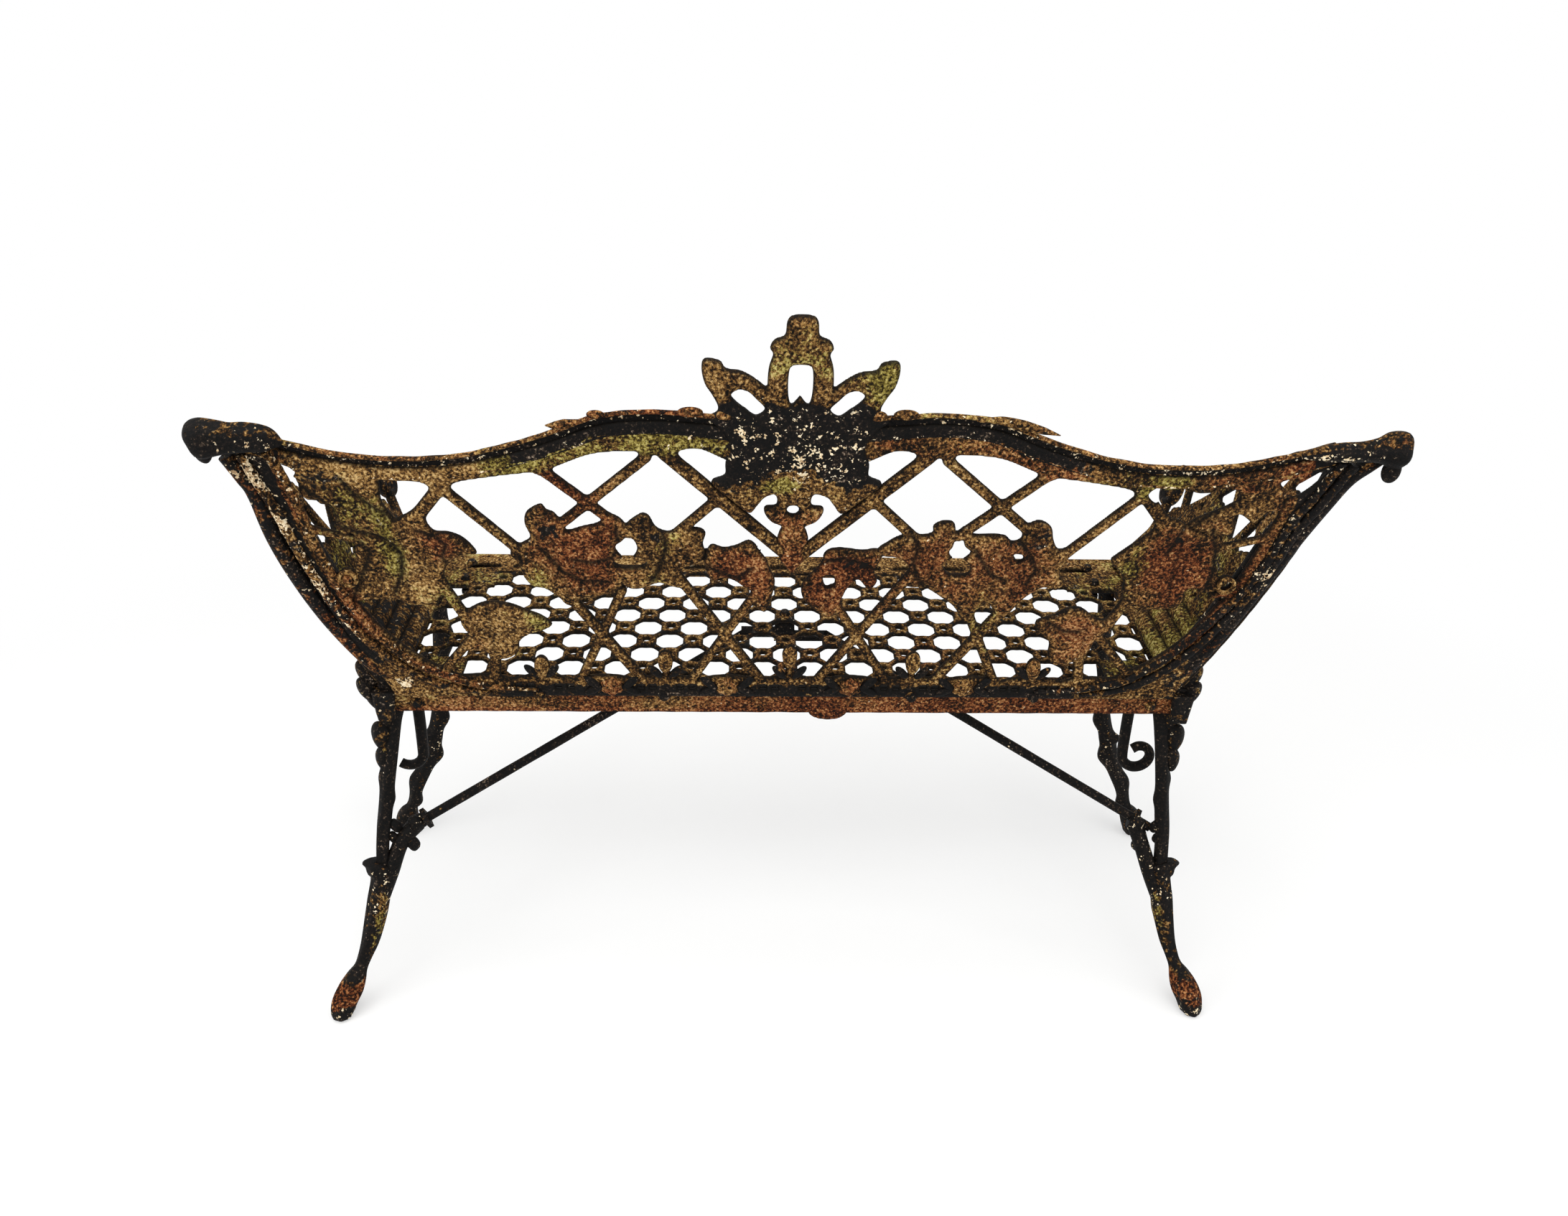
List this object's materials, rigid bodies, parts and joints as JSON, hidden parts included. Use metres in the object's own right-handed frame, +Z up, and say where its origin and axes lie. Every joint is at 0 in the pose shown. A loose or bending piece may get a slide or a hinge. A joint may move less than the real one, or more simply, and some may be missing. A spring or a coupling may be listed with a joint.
{
  "type": "cast iron garden bench",
  "caption": "Garden bench cast in iron: vine-leaf lattice back with a crest, pierced seat that falls to the back, bowed openwork arms, splayed knotted legs and brace rods.",
  "frame": {"origin": "on the floor, under the middle of the bench's bounding box", "axes": "+X along the bench towards a sitter's left, +Y towards the back, +Z up; the sitter faces -Y"},
  "size_m": [1.2459, 0.4552, 0.8867],
  "materials": {
    "cast_iron": "rusted and lichen-stained, with remains of black and cream paint",
    "leg_iron": "old black paint, flaked to rust and cream at the feet",
    "brace_iron": "old black paint",
    "bolt_iron": "rusted"
  },
  "bodies": {
    "root": {"seat": "cast_iron", "back": "cast_iron", "left_arm": "cast_iron", "right_arm": "cast_iron", "rear_left_leg": "leg_iron", "rear_right_leg": "leg_iron", "front_left_leg": "leg_iron", "front_right_leg": "leg_iron", "left_brace": "brace_iron", "right_brace": "brace_iron", "back_screws": "bolt_iron", "arm_back_bolts": "bolt_iron", "arm_back_nuts": "bolt_iron", "arm_seat_bolts": "bolt_iron", "arm_seat_nuts": "bolt_iron", "apron_bolts": "bolt_iron", "apron_nuts": "bolt_iron", "leg_bolts": "bolt_iron", "leg_nuts": "bolt_iron", "brace_bolts": "bolt_iron", "brace_nuts": "bolt_iron", "lug_nuts": "bolt_iron"}
  },
  "joints": []
}
